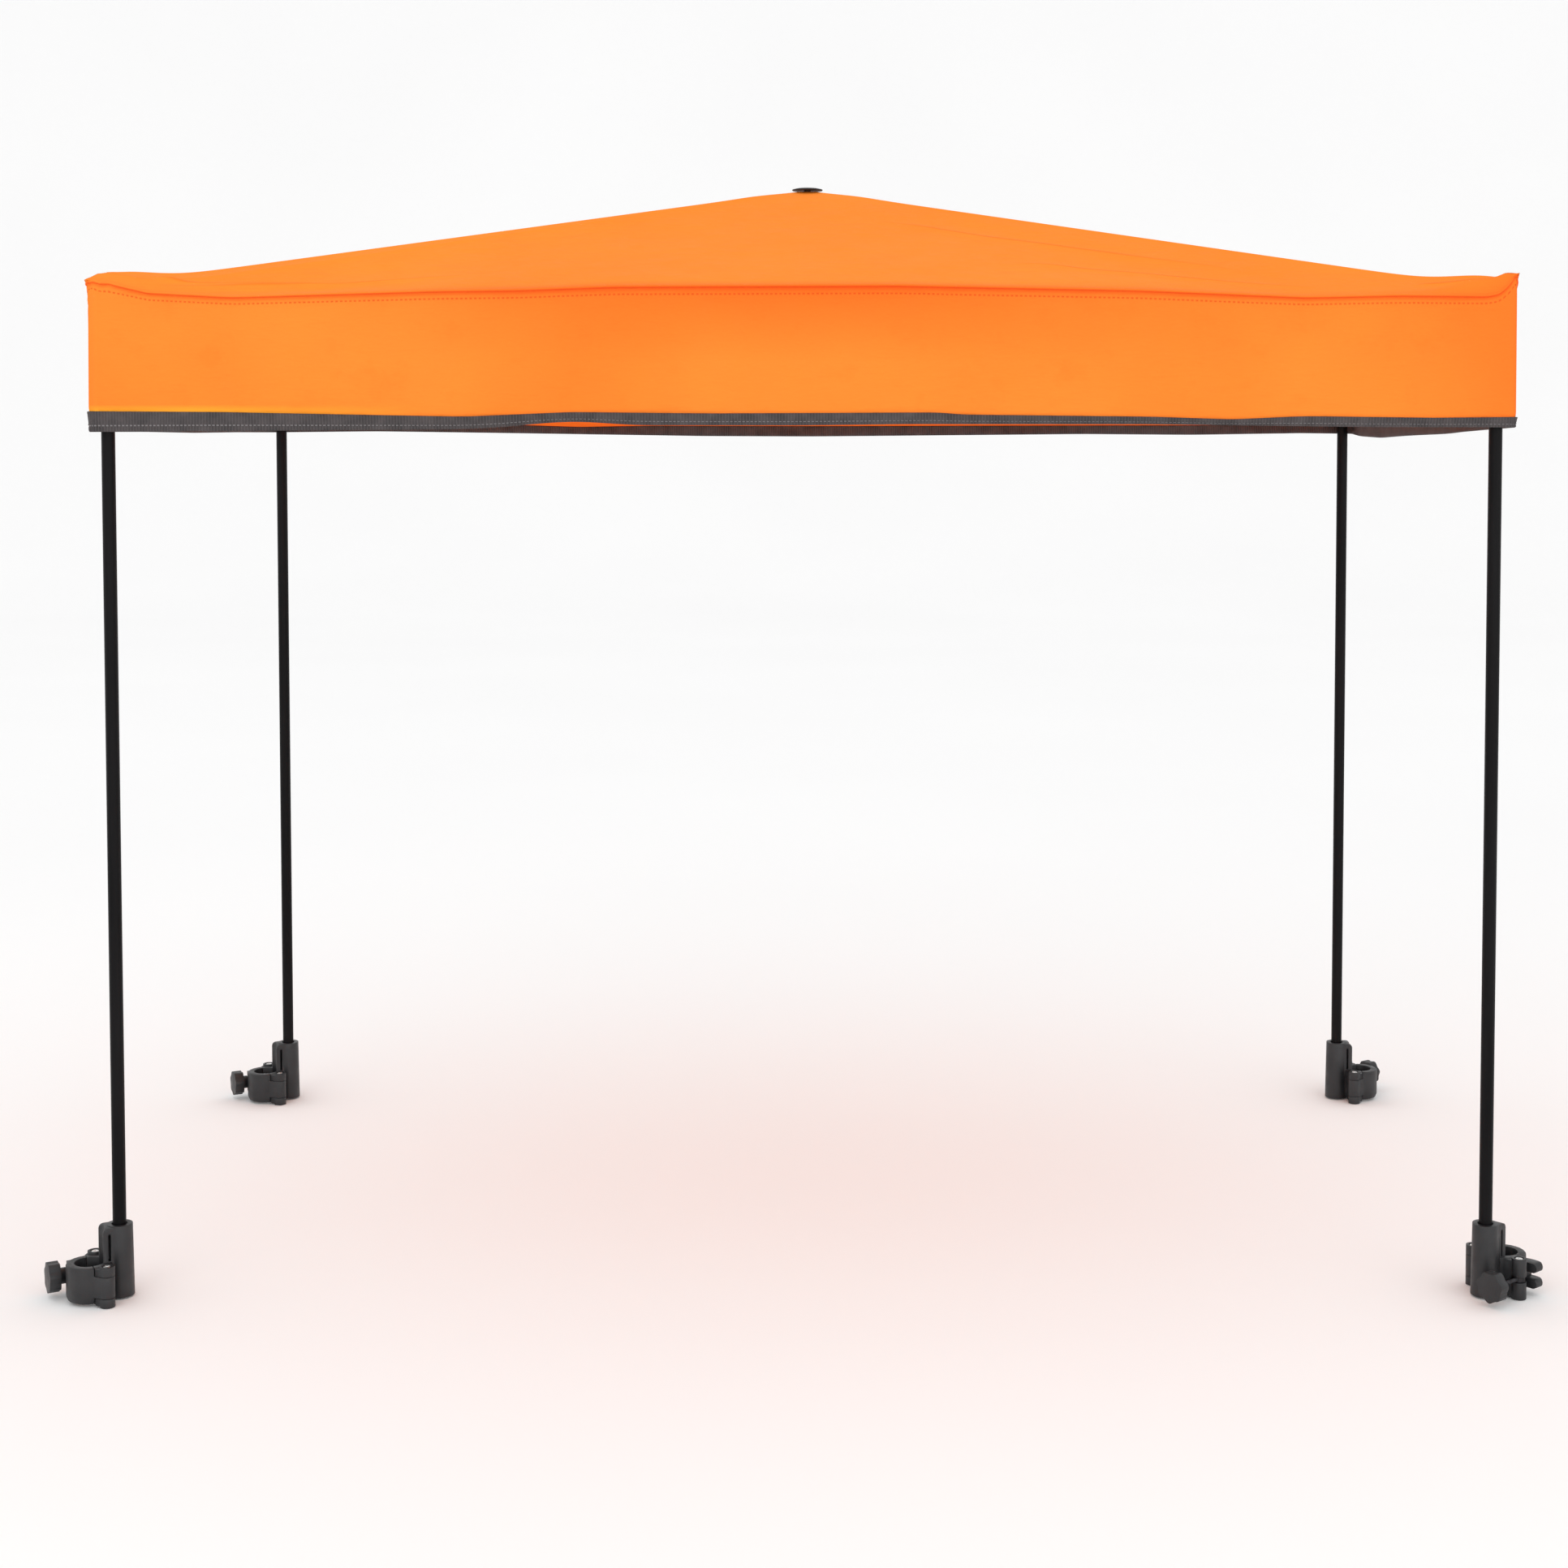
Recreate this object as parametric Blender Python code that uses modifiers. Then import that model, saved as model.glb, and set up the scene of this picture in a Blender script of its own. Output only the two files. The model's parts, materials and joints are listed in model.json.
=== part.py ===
"""Clamp-on cart canopy: a hipped fabric roof on four legs, each leg standing in a hinged tube clamp.

Metres, +Z up. X runs along the long side, Y from the front to the back. The clamps stand on z = 0.
"""
import math

import bmesh
import bpy
from mathutils import Matrix, Vector

NAME = "cart_canopy"

# Running and resting gap between neighbouring solids.
GAP = 0.0003
ROUND_SEGMENTS = 24
SMALL_SEGMENTS = 12

# Frame. The rectangle of legs is placed so that the whole object's box is centred on the origin.
LEG_SPACING = Vector((1.030, 0.560))
LEG_CENTRE = Vector((0.0044, -0.0063))
LEG_RADIUS = 0.005
TUBE_WALL = 0.0008
LEG_FOOT_Z = 0.018
LEG_TOP_Z = 0.7490
ARM_RADIUS = 0.004
ARM_START = 0.0105
ARM_LOW_Z = 0.7450
ARM_HIGH_Z = 0.8430
HUB_RADIUS = 0.018
HUB_HALF_HEIGHT = 0.0075
HUB_SLEEVE_REACH = 0.045
HUB_ARM_STOP = 0.018
CONNECTOR_RADIUS = 0.008
CONNECTOR_LOW_Z = 0.7175
CONNECTOR_HIGH_Z = 0.7560
ARM_SLEEVE_RADIUS = 0.0066
ARM_SLEEVE_REACH = 0.036

# Cover.
COVER_MARGIN = 0.0145
CLOTH = 0.0012
TAPE_THICKNESS = 0.0022
HEM_Z = 0.652
TAPE_TOP_Z = 0.6650
EAVE_Z = 0.7570
PEAK_Z = 0.8575
PEAK_HOLE = 0.0050
CAP_RADIUS = 0.013
CAP_THICKNESS = 0.0022
CAP_STEM_RADIUS = 0.0030
CAP_STEM_DEPTH = 0.016

# Clamp, in its own frame: the leg is on the Z axis and the clamped tube lies towards +X.
SOCKET_BASE_RADIUS = 0.0106
SOCKET_TOP_RADIUS = 0.0097
SOCKET_LOW_Z = 0.001
SOCKET_HIGH_Z = 0.055
RECESS_RADIUS = 0.0060
RECESS_DEPTH = 0.0022
RING_CENTRE = 0.0224
RING_RADIUS = 0.0173
RING_HOLE_RADIUS = 0.0113
RING_LOW_Z = 0.001
RING_HIGH_Z = 0.029
SPLIT_X = 0.0225
PLATE_OUT = 0.0140
PLATE_IN = 0.0104
PLATE_HALF_WIDTH = 0.0082
PLATE_HIGH_Z = 0.0546
PLATE_CORNER = 0.0035
GROOVE_IN = 0.0083
GROOVE_HIGH_Z = 0.0500
WEB_HALF = 0.0020

# Pins: the jaw's hinge on one side, the swing bolt's pivot on the other.
PIN_X = 0.014
PIN_Y = 0.0205
PIN_HOLE_RADIUS = 0.00175
KNUCKLE_RADIUS = 0.0056
KNUCKLE_HIGH_Z = 0.0305
COUNTERBORE_RADIUS = 0.0036
COUNTERBORE_Z = 0.0288
JAW_KNUCKLE_LOW_Z = 0.0070
JAW_KNUCKLE_HIGH_Z = 0.0230
SCREW_RADIUS = 0.00145
SCREW_HEAD_RADIUS = 0.0031
SCREW_HEAD_HEIGHT = 0.0011
SCREW_SLOT = 0.0008
BOLT_Z = 0.015
EYE_RADIUS = 0.0046
EYE_HALF_HEIGHT = 0.0018
EYE_SLOT_HALF = 0.0022
BOLT_RADIUS = 0.0019
BOLT_LENGTH = 0.0325
FORK_REACH = 0.021
FORK_IN = 0.0255
FORK_WALL_Y = 0.0174
PRONG_TIP_Y = 0.0246
PRONG_RADIUS = 0.0035
PRONG_OFFSET = 0.0060
HUB_GAP = 0.0010
KNOB_HUB_RADIUS = 0.0060
KNOB_HUB_LENGTH = 0.0050
KNOB_RADIUS = 0.0110
KNOB_LOBE = 0.0007
KNOB_LOBES = 7
KNOB_THICKNESS = 0.0085
KNOB_FLOOR = 0.002

# Each corner: its side of the frame, the clamp's direction, its hand and how far its bolt is swung out.
CORNERS = {
    "front_left": {"side": (-1, -1), "yaw": 209.0, "hand": 1, "swing": 0.0},
    "front_right": {"side": (1, -1), "yaw": 40.0, "hand": 1, "swing": 182.5},
    "back_left": {"side": (-1, 1), "yaw": 208.0, "hand": 1, "swing": 0.0},
    "back_right": {"side": (1, 1), "yaw": -1.0, "hand": -1, "swing": 36.0},
}

MATERIALS = {
    "orange_fabric": ((0.90, 0.29, 0.045), 0.78, 0.0),
    "black_webbing": ((0.045, 0.043, 0.047), 0.85, 0.0),
    "black_steel": ((0.018, 0.017, 0.018), 0.38, 0.4),
    "black_plastic": ((0.026, 0.026, 0.029), 0.55, 0.0),
    "zinc_steel": ((0.72, 0.72, 0.70), 0.28, 1.0),
}


def clear_scene():
    for item in list(bpy.data.objects):
        bpy.data.objects.remove(item, do_unlink=True)


def new_collection(name):
    made = bpy.data.collections.new(name)
    bpy.context.scene.collection.children.link(made)
    return made


def make_material(name, colour, roughness, metallic):
    material = bpy.data.materials.new(name)
    material.use_nodes = True
    shader = material.node_tree.nodes["Principled BSDF"]
    shader.inputs["Base Color"].default_value = (*colour, 1.0)
    shader.inputs["Roughness"].default_value = roughness
    shader.inputs["Metallic"].default_value = metallic
    material.diffuse_color = (*colour, 1.0)
    return material


def workshop_object(mesh, place=None):
    """A loose shape in the cutters' collection, to be joined, cut or copied."""
    shape = bpy.data.objects.new("shape", mesh)
    shape.hide_render = True
    shape.display_type = "WIRE"
    if place is not None:
        shape.matrix_world = place
    CUTTERS.objects.link(shape)
    return shape


def mesh_from(build):
    mesh = bpy.data.meshes.new("shape")
    bm = bmesh.new()
    build(bm)
    bmesh.ops.recalc_face_normals(bm, faces=bm.faces)
    bm.to_mesh(mesh)
    bm.free()
    return mesh


def cylinder(radius, low, high, x=0.0, y=0.0, top_radius=None, segments=ROUND_SEGMENTS):
    """An upright cylinder, or a cone where top_radius differs."""
    top = radius if top_radius is None else top_radius

    def build(bm):
        place = Matrix.Translation((x, y, (low + high) / 2))
        bmesh.ops.create_cone(bm, cap_ends=True, segments=segments, radius1=radius, radius2=top,
                              depth=high - low, matrix=place)

    return workshop_object(mesh_from(build))


def rod(radius, start, end, segments=ROUND_SEGMENTS):
    """A cylinder between two points."""
    start, end = Vector(start), Vector(end)
    turn = (end - start).to_track_quat("Z", "Y").to_matrix().to_4x4()

    def build(bm):
        place = Matrix.Translation((start + end) / 2) @ turn
        bmesh.ops.create_cone(bm, cap_ends=True, segments=segments, radius1=radius, radius2=radius,
                              depth=(end - start).length, matrix=place)

    return workshop_object(mesh_from(build))


def block(low, high):
    """A box between two corners."""
    low, high = Vector(low), Vector(high)
    size = high - low

    def build(bm):
        place = Matrix.Translation((low + high) / 2) @ Matrix.Diagonal((*size, 1.0))
        bmesh.ops.create_cube(bm, size=1.0, matrix=place)

    return workshop_object(mesh_from(build))


def prism(outline, low, high):
    """A flat outline given as X and Y points, raised from low to high."""
    curve = bpy.data.curves.new("outline", "CURVE")
    curve.dimensions = "2D"
    curve.fill_mode = "BOTH"
    curve.extrude = (high - low) / 2
    spline = curve.splines.new("POLY")
    spline.points.add(len(outline) - 1)
    for point, (x, y) in zip(spline.points, outline):
        point.co = (x, y, 0.0, 1.0)
    spline.use_cyclic_u = True
    flat = bpy.data.objects.new("outline", curve)
    CUTTERS.objects.link(flat)
    mesh = evaluated_mesh(flat)
    bpy.data.objects.remove(flat, do_unlink=True)
    weld(mesh)
    mesh.transform(Matrix.Translation((0.0, 0.0, (low + high) / 2)))
    return workshop_object(mesh)


def turned(profile):
    """A solid of revolution about Z from points of radius and height, bottom to top."""
    mesh = bpy.data.meshes.new("profile")
    points = [(radius, 0.0, height) for radius, height in profile]
    edges = [(i, i + 1) for i in range(len(points) - 1)]
    mesh.from_pydata(points, edges, [])
    shape = workshop_object(mesh)
    screw = shape.modifiers.new("Screw", "SCREW")
    screw.steps = screw.render_steps = ROUND_SEGMENTS
    screw.use_merge_vertices = True
    screw.merge_threshold = 0.00001
    screw.use_normal_calculate = True
    return bake(shape)


def evaluated_mesh(shape):
    bpy.context.view_layer.update()
    graph = bpy.context.evaluated_depsgraph_get()
    return bpy.data.meshes.new_from_object(shape.evaluated_get(graph))


def weld(mesh):
    bm = bmesh.new()
    bm.from_mesh(mesh)
    bmesh.ops.remove_doubles(bm, verts=bm.verts, dist=0.000001)
    bmesh.ops.recalc_face_normals(bm, faces=bm.faces)
    bm.to_mesh(mesh)
    bm.free()


def bake(shape):
    """Applies every modifier of a workshop shape."""
    mesh = evaluated_mesh(shape)
    shape.modifiers.clear()
    shape.data = mesh
    weld(mesh)
    return shape


def combine(shape, operation, tools):
    """Joins tools to a shape, or cuts or intersects it with them, and uses the tools up."""
    for tool in tools:
        step = shape.modifiers.new(operation, "BOOLEAN")
        step.operation = operation
        step.solver = "EXACT"
        step.object = tool
    bake(shape)
    for tool in tools:
        bpy.data.objects.remove(tool, do_unlink=True)
    return shape


def join(shape, *tools):
    return combine(shape, "UNION", tools)


def cut(shape, *tools):
    return combine(shape, "DIFFERENCE", tools)


def keep_common(shape, *tools):
    return combine(shape, "INTERSECT", tools)


def finish_mesh(shape, smooth=True):
    """Takes the mesh out of the workshop, shaded, ready to be shared by the placed pieces."""
    mesh = shape.data
    bpy.data.objects.remove(shape, do_unlink=True)
    if smooth:
        mesh.shade_smooth()
        mesh.set_sharp_from_angle(angle=math.radians(35))
    return mesh


def place_part(name, mesh, material, place=None):
    """One finished piece: a named object with its own material."""
    own = mesh.copy()
    own.name = name
    own.materials.clear()
    own.materials.append(LOOKS[material])
    part = bpy.data.objects.new(name, own)
    if place is not None:
        part.matrix_world = place
    PARTS.objects.link(part)
    return part


def turn_z(degrees):
    return Matrix.Rotation(math.radians(degrees), 4, "Z")


# Clamp pieces. "hand" is +1 with the jaw's hinge at +Y, and -1 for the mirrored clamp.


def side_outline(hand, end_x):
    """The web between ring and knuckle, seen from above, as far as end_x."""
    slope_x = PIN_X + 0.0040
    slope_y = PIN_Y + 0.0037
    points = [
        (0.0090, 0.0090),
        (end_x, 0.0090),
        (end_x, 0.0169),
        (slope_x, slope_y),
        (PIN_X - 0.0038, slope_y),
        (0.0090, 0.0150),
    ]
    return [(x, hand * y) for x, y in points]


def ring_blank():
    """The ring's outside as one turned disc, before it is split into socket side and jaw."""
    disc = turned([
        (0.0, RING_LOW_Z),
        (RING_RADIUS - 0.0040, RING_LOW_Z),
        (RING_RADIUS - 0.0012, RING_LOW_Z + 0.0014),
        (RING_RADIUS, RING_LOW_Z + 0.0045),
        (RING_RADIUS, RING_HIGH_Z - 0.0008),
        (RING_RADIUS - 0.0008, RING_HIGH_Z),
        (0.0, RING_HIGH_Z),
    ])
    disc.data.transform(Matrix.Translation((RING_CENTRE, 0.0, 0.0)))
    return disc


def ring_hole(high):
    return cylinder(RING_HOLE_RADIUS, -0.002, high, RING_CENTRE)


def knuckle(y, low, high):
    return cylinder(KNUCKLE_RADIUS, low, high, PIN_X, y)


def bracket_mesh(hand):
    """Leg socket, back plate, the ring's inner half and the fixed knuckles, moulded in one."""
    hinge_y = hand * PIN_Y
    bolt_y = -hinge_y
    inner_end = SPLIT_X - GAP
    shell = cylinder(SOCKET_BASE_RADIUS, SOCKET_LOW_Z, SOCKET_HIGH_Z, top_radius=SOCKET_TOP_RADIUS)
    corner = [
        (PLATE_OUT - PLATE_CORNER * (1 - math.cos(angle)), PLATE_HIGH_Z - PLATE_CORNER * (1 - math.sin(angle)))
        for angle in (0.0, math.pi / 6, math.pi / 3, math.pi / 2)
    ]
    plate_side = [(0.002, 0.024), (PLATE_OUT, 0.024), *corner, (0.002, PLATE_HIGH_Z)]
    plate = prism(plate_side, -PLATE_HALF_WIDTH, PLATE_HALF_WIDTH)
    plate.data.transform(Matrix.Rotation(math.pi / 2, 4, "X"))
    ring = ring_blank()
    webs = [prism(side_outline(side, SPLIT_X + 0.0010), RING_LOW_Z + 0.0003, RING_HIGH_Z - 0.0003) for side in (1, -1)]
    knuckles = [knuckle(side * PIN_Y, 0.0, KNUCKLE_HIGH_Z) for side in (1, -1)]
    join(shell, plate, ring, *webs, *knuckles)
    cut(shell, block((inner_end, -0.03, -0.01), (0.06, 0.03, 0.04)))
    cut(shell, ring_hole(0.060))
    cut_hinge_room(shell, hinge_y)
    cut_eye_slot(shell, bolt_y)
    for y in (hinge_y, bolt_y):
        cut(
            shell,
            cylinder(PIN_HOLE_RADIUS, -0.002, 0.040, PIN_X, y, segments=SMALL_SEGMENTS),
            cylinder(COUNTERBORE_RADIUS, COUNTERBORE_Z, 0.040, PIN_X, y),
        )
    for side in (1, -1):
        cut(shell, *groove(side))
    cut(
        shell,
        cylinder(LEG_RADIUS + GAP, LEG_FOOT_Z - GAP, 0.060),
        cylinder(RECESS_RADIUS, SOCKET_HIGH_Z - RECESS_DEPTH, 0.060),
    )
    return finish_mesh(shell)


def cut_hinge_room(shell, hinge_y):
    """Room for the jaw's knuckle and arm between the two fixed knuckles."""
    low = JAW_KNUCKLE_LOW_Z - GAP - 0.0001
    high = JAW_KNUCKLE_HIGH_Z + GAP + 0.0001
    near = math.copysign(0.0086, hinge_y)
    far = math.copysign(0.0300, hinge_y)
    cut(
        shell,
        block((PIN_X - 0.0004, min(near, far), low), (0.040, max(near, far), high)),
        cylinder(KNUCKLE_RADIUS + 0.0005, low, high, PIN_X, hinge_y),
    )


def cut_eye_slot(shell, bolt_y):
    """The slot that the swing bolt's eye turns in."""
    low = BOLT_Z - EYE_SLOT_HALF
    high = BOLT_Z + EYE_SLOT_HALF
    near = math.copysign(0.0178, bolt_y)
    far = math.copysign(0.0300, bolt_y)
    cut(
        shell,
        block((PIN_X - 0.008, min(near, far), low), (0.040, max(near, far), high)),
        cylinder(KNUCKLE_RADIUS + 0.0006, low, high, PIN_X, bolt_y),
    )


def groove(side):
    """A moulded groove between socket and back plate, with a round top."""
    width = PLATE_IN - GROOVE_IN
    middle = (PLATE_IN + GROOVE_IN) / 2
    near, far = sorted((side * WEB_HALF, side * 0.012))
    top = GROOVE_HIGH_Z - width / 2
    return (
        block((GROOVE_IN, near, RING_HIGH_Z + 0.0006), (PLATE_IN, far, top)),
        rod(width / 2 - 0.00003, (middle, near + 0.00007, top), (middle, far - 0.0001, top), SMALL_SEGMENTS),
    )


def jaw_mesh(hand):
    """The ring's outer half with its hinge arm and the fork for the bolt. Origin on the hinge pin."""
    hinge_y = hand * PIN_Y
    bolt_y = -hinge_y
    jaw = ring_blank()
    cut(jaw, block((-0.01, -0.03, -0.01), (SPLIT_X + GAP, 0.03, 0.04)))
    joint_x = SPLIT_X + 0.0019
    arm_outline = [
        (joint_x, 0.0090),
        (joint_x, 0.0166),
        (PIN_X + 0.0040, PIN_Y + 0.0037),
        (PIN_X, PIN_Y),
        (PIN_X + 0.0003, 0.0118),
        (PIN_X + 0.0028, 0.0090),
    ]
    arm = prism([(x, hand * y) for x, y in arm_outline], JAW_KNUCKLE_LOW_Z, JAW_KNUCKLE_HIGH_Z)
    join(jaw, arm, knuckle(hinge_y, JAW_KNUCKLE_LOW_Z, JAW_KNUCKLE_HIGH_Z), fork(bolt_y))
    cut(
        jaw,
        ring_hole(0.040),
        cylinder(PIN_HOLE_RADIUS, -0.002, 0.040, PIN_X, hinge_y, segments=SMALL_SEGMENTS),
    )
    jaw.data.transform(Matrix.Translation((-PIN_X, -hinge_y, 0.0)))
    return finish_mesh(jaw)


def fork(bolt_y):
    """Two prongs that the swing bolt drops between, rounded about the bolt's pivot."""
    side = math.copysign(1.0, bolt_y)
    end_x = PIN_X + FORK_REACH + 0.004
    near, far = sorted((side * 0.0100, side * FORK_WALL_Y))
    low = BOLT_Z - PRONG_OFFSET - PRONG_RADIUS
    high = BOLT_Z + PRONG_OFFSET + PRONG_RADIUS
    body = block((FORK_IN, near, low), (end_x, far, high))
    prongs = []
    for offset in (-PRONG_OFFSET, PRONG_OFFSET):
        z = BOLT_Z + offset
        inner, outer = sorted((side * 0.0150, side * PRONG_TIP_Y))
        prongs.append(block((FORK_IN, inner, z - PRONG_RADIUS), (end_x, outer, z + PRONG_RADIUS)))
        tip = side * PRONG_TIP_Y
        prongs.append(rod(PRONG_RADIUS, (FORK_IN, tip, z), (end_x, tip, z)))
    join(body, *prongs)
    return keep_common(body, cylinder(FORK_REACH, -0.002, 0.040, PIN_X, bolt_y, segments=48))


def screw_mesh():
    """Pan head screw that serves as a hinge pin. Origin on its axis, at the ground."""
    head_low = COUNTERBORE_Z + GAP
    head_high = head_low + SCREW_HEAD_HEIGHT
    pin = cylinder(SCREW_HEAD_RADIUS, head_low, head_high, segments=ROUND_SEGMENTS,
                   top_radius=SCREW_HEAD_RADIUS - 0.0005)
    join(pin, cylinder(SCREW_RADIUS, 0.0010, head_low + 0.0005, segments=SMALL_SEGMENTS))
    half = SCREW_SLOT / 2
    cut(
        pin,
        block((-0.0022, -half, head_high - 0.0006), (0.0022, half, head_high + 0.001)),
        block((-half, -0.0022, head_high - 0.0006), (half, 0.0022, head_high + 0.001)),
    )
    return finish_mesh(pin)


def bolt_mesh():
    """Eye bolt that swings into the fork. Origin on its pivot, at bolt height, rod along +X."""
    eye = cylinder(EYE_RADIUS, -EYE_HALF_HEIGHT, EYE_HALF_HEIGHT)
    join(eye, rod(BOLT_RADIUS, (0.0030, 0.0, 0.0), (BOLT_LENGTH, 0.0, 0.0), SMALL_SEGMENTS))
    cut(eye, cylinder(PIN_HOLE_RADIUS, -0.01, 0.01, segments=SMALL_SEGMENTS))
    return finish_mesh(eye)


def knob_mesh():
    """Lobed knob with a hub and a blind hole for the bolt. Origin on the bolt's pivot, axis +X."""
    hub_start = FORK_REACH + HUB_GAP
    grip_start = hub_start + KNOB_HUB_LENGTH
    grip_end = grip_start + KNOB_THICKNESS
    count = KNOB_LOBES * 8
    outline = []
    for step in range(count):
        angle = 2 * math.pi * step / count
        radius = KNOB_RADIUS + KNOB_LOBE * math.cos(KNOB_LOBES * angle)
        outline.append((radius * math.cos(angle), radius * math.sin(angle)))
    grip = prism(outline, grip_start, grip_end)
    grip.data.transform(Matrix.Rotation(math.pi / 2, 4, "Y"))
    bevel = grip.modifiers.new("Bevel", "BEVEL")
    bevel.width = 0.0010
    bevel.segments = 1
    bevel.limit_method = "ANGLE"
    bevel.angle_limit = math.radians(60)
    bake(grip)
    join(grip, rod(KNOB_HUB_RADIUS, (hub_start, 0.0, 0.0), (grip_start + 0.002, 0.0, 0.0)))
    cut(grip, rod(BOLT_RADIUS + 0.0004, (hub_start - 0.002, 0.0, 0.0), (grip_end - KNOB_FLOOR, 0.0, 0.0),
                  SMALL_SEGMENTS))
    return finish_mesh(grip)


# Frame pieces.


def tube_mesh(radius, start, end):
    """An open tube between two points."""
    start, end = Vector(start), Vector(end)
    along = (end - start).normalized() * 0.002
    tube = rod(radius, start, end)
    cut(tube, rod(radius - TUBE_WALL, start - along, end + along, SMALL_SEGMENTS))
    return finish_mesh(tube)


def arm_direction():
    """The arm's unit direction in a corner's own frame, whose +X points at the hub."""
    reach = (LEG_SPACING / 2).length
    return Vector((reach, 0.0, ARM_HIGH_Z - ARM_LOW_Z)).normalized()


def connector_mesh():
    """Corner elbow: an upright sleeve for the leg and a slanted one for the roof arm."""
    low_point = Vector((0.0, 0.0, ARM_LOW_Z))
    along = arm_direction()
    elbow = cylinder(CONNECTOR_RADIUS, CONNECTOR_LOW_Z, CONNECTOR_HIGH_Z)
    join(elbow, rod(ARM_SLEEVE_RADIUS, low_point, low_point + along * ARM_SLEEVE_REACH))
    cut(
        elbow,
        cylinder(LEG_RADIUS + GAP, CONNECTOR_LOW_Z - 0.002, LEG_TOP_Z + GAP),
        rod(ARM_RADIUS + GAP, low_point + along * (ARM_START - GAP), low_point + along * (ARM_SLEEVE_REACH + 0.002)),
    )
    return finish_mesh(elbow)


def arm_mesh():
    """Roof arm from a corner to the hub, in the corner's own frame."""
    low_point = Vector((0.0, 0.0, ARM_LOW_Z))
    along = arm_direction()
    reach = (LEG_SPACING / 2).length
    length = (reach - HUB_ARM_STOP) / along.x
    return tube_mesh(ARM_RADIUS, low_point + along * ARM_START, low_point + along * (length - GAP))


def hub_angle(side):
    half = LEG_SPACING / 2
    return math.degrees(math.atan2(side[1] * half.y, side[0] * half.x))


def hub_mesh():
    """Centre hub with four slanted sleeves. Origin on its axis, at the ground."""
    hub = cylinder(HUB_RADIUS, ARM_HIGH_Z - HUB_HALF_HEIGHT, ARM_HIGH_Z + HUB_HALF_HEIGHT)
    along = arm_direction()
    top = Vector((0.0, 0.0, ARM_HIGH_Z))
    down = Vector((along.x, 0.0, -along.z))
    sleeves = []
    bores = []
    for corner in CORNERS.values():
        turn = turn_z(hub_angle(corner["side"]))
        start = turn @ (top + down * 0.004)
        end = turn @ (top + down * HUB_SLEEVE_REACH)
        sleeves.append(rod(ARM_SLEEVE_RADIUS, start, end))
        bore_start = turn @ (top + down * (HUB_ARM_STOP / down.x - GAP))
        bore_end = turn @ (top + down * (HUB_SLEEVE_REACH + 0.002))
        bores.append(rod(ARM_RADIUS + GAP, bore_start, bore_end))
    join(hub, *sleeves)
    cut(hub, *bores)
    cut(hub, cylinder(CAP_STEM_RADIUS + GAP, ARM_HIGH_Z - 0.010, ARM_HIGH_Z + 0.020))
    return finish_mesh(hub)


def cap_mesh():
    """Flat cap on top of the roof, with the stem that holds it in the hub."""
    hole_drop = (PEAK_Z - EAVE_Z) * PEAK_HOLE / cover_half().y
    low = PEAK_Z - hole_drop + CLOTH + GAP
    cap = turned([
        (0.0, low),
        (CAP_RADIUS, low),
        (CAP_RADIUS, low + CAP_THICKNESS * 0.45),
        (CAP_RADIUS * 0.7, low + CAP_THICKNESS * 0.85),
        (0.0, low + CAP_THICKNESS),
    ])
    join(cap, cylinder(CAP_STEM_RADIUS, low - CAP_STEM_DEPTH, low + CAP_THICKNESS * 0.4))
    return finish_mesh(cap)


# Cover pieces: plain closed solids, one for each sewn panel.


def cover_half():
    return LEG_SPACING / 2 + Vector((COVER_MARGIN, COVER_MARGIN))


def roof_panel_mesh(along_x, side):
    """One sloping roof panel. along_x is True for the two long panels."""
    half = cover_half()
    hip = GAP * 0.8
    peak_share = PEAK_HOLE / half.y
    if along_x:
        slope = half.x / half.y
        outer, inner = half.y, half.y * peak_share
        wide = half.x - hip * slope
        narrow = half.x * peak_share - hip * slope
        outline = [(-wide, side * outer), (wide, side * outer), (narrow, side * inner), (-narrow, side * inner)]
    else:
        outer, inner = half.x, half.x * peak_share
        wide = half.y - hip
        narrow = half.y * peak_share - hip
        outline = [(side * outer, -wide), (side * outer, wide), (side * inner, narrow), (side * inner, -narrow)]
    panel = prism(outline, 0.0, CLOTH)
    rise = PEAK_Z - EAVE_Z
    for vertex in panel.data.vertices:
        share = abs(vertex.co.y) / half.y if along_x else abs(vertex.co.x) / half.x
        vertex.co.z += EAVE_Z + rise * (1.0 - share)
    return finish_mesh(panel, smooth=False)


def skirt_mesh(along_x, side, thickness, low, high):
    """One upright strip of the skirt: a valance panel or its hem tape."""
    half = cover_half()
    outer_x, outer_y = half.x, half.y
    if along_x:
        near, far = sorted((side * outer_y, side * (outer_y - thickness)))
        strip = block((-outer_x, near, low), (outer_x, far, high))
    else:
        near, far = sorted((side * outer_x, side * (outer_x - thickness)))
        end = outer_y - thickness - GAP
        strip = block((near, -end, low), (far, end, high))
    return finish_mesh(strip, smooth=False)


# Assembly.


def build_cover():
    centre = Matrix.Translation((*LEG_CENTRE, 0.0))
    sides = {"front": (True, -1), "back": (True, 1), "left": (False, -1), "right": (False, 1)}
    for name, (along_x, side) in sides.items():
        place_part(f"{name}_roof_panel", roof_panel_mesh(along_x, side), "orange_fabric", centre)
        valance = skirt_mesh(along_x, side, CLOTH, TAPE_TOP_Z, EAVE_Z - GAP)
        place_part(f"{name}_valance", valance, "orange_fabric", centre)
        tape = skirt_mesh(along_x, side, TAPE_THICKNESS, HEM_Z, TAPE_TOP_Z - GAP)
        place_part(f"{name}_hem_tape", tape, "black_webbing", centre)


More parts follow.
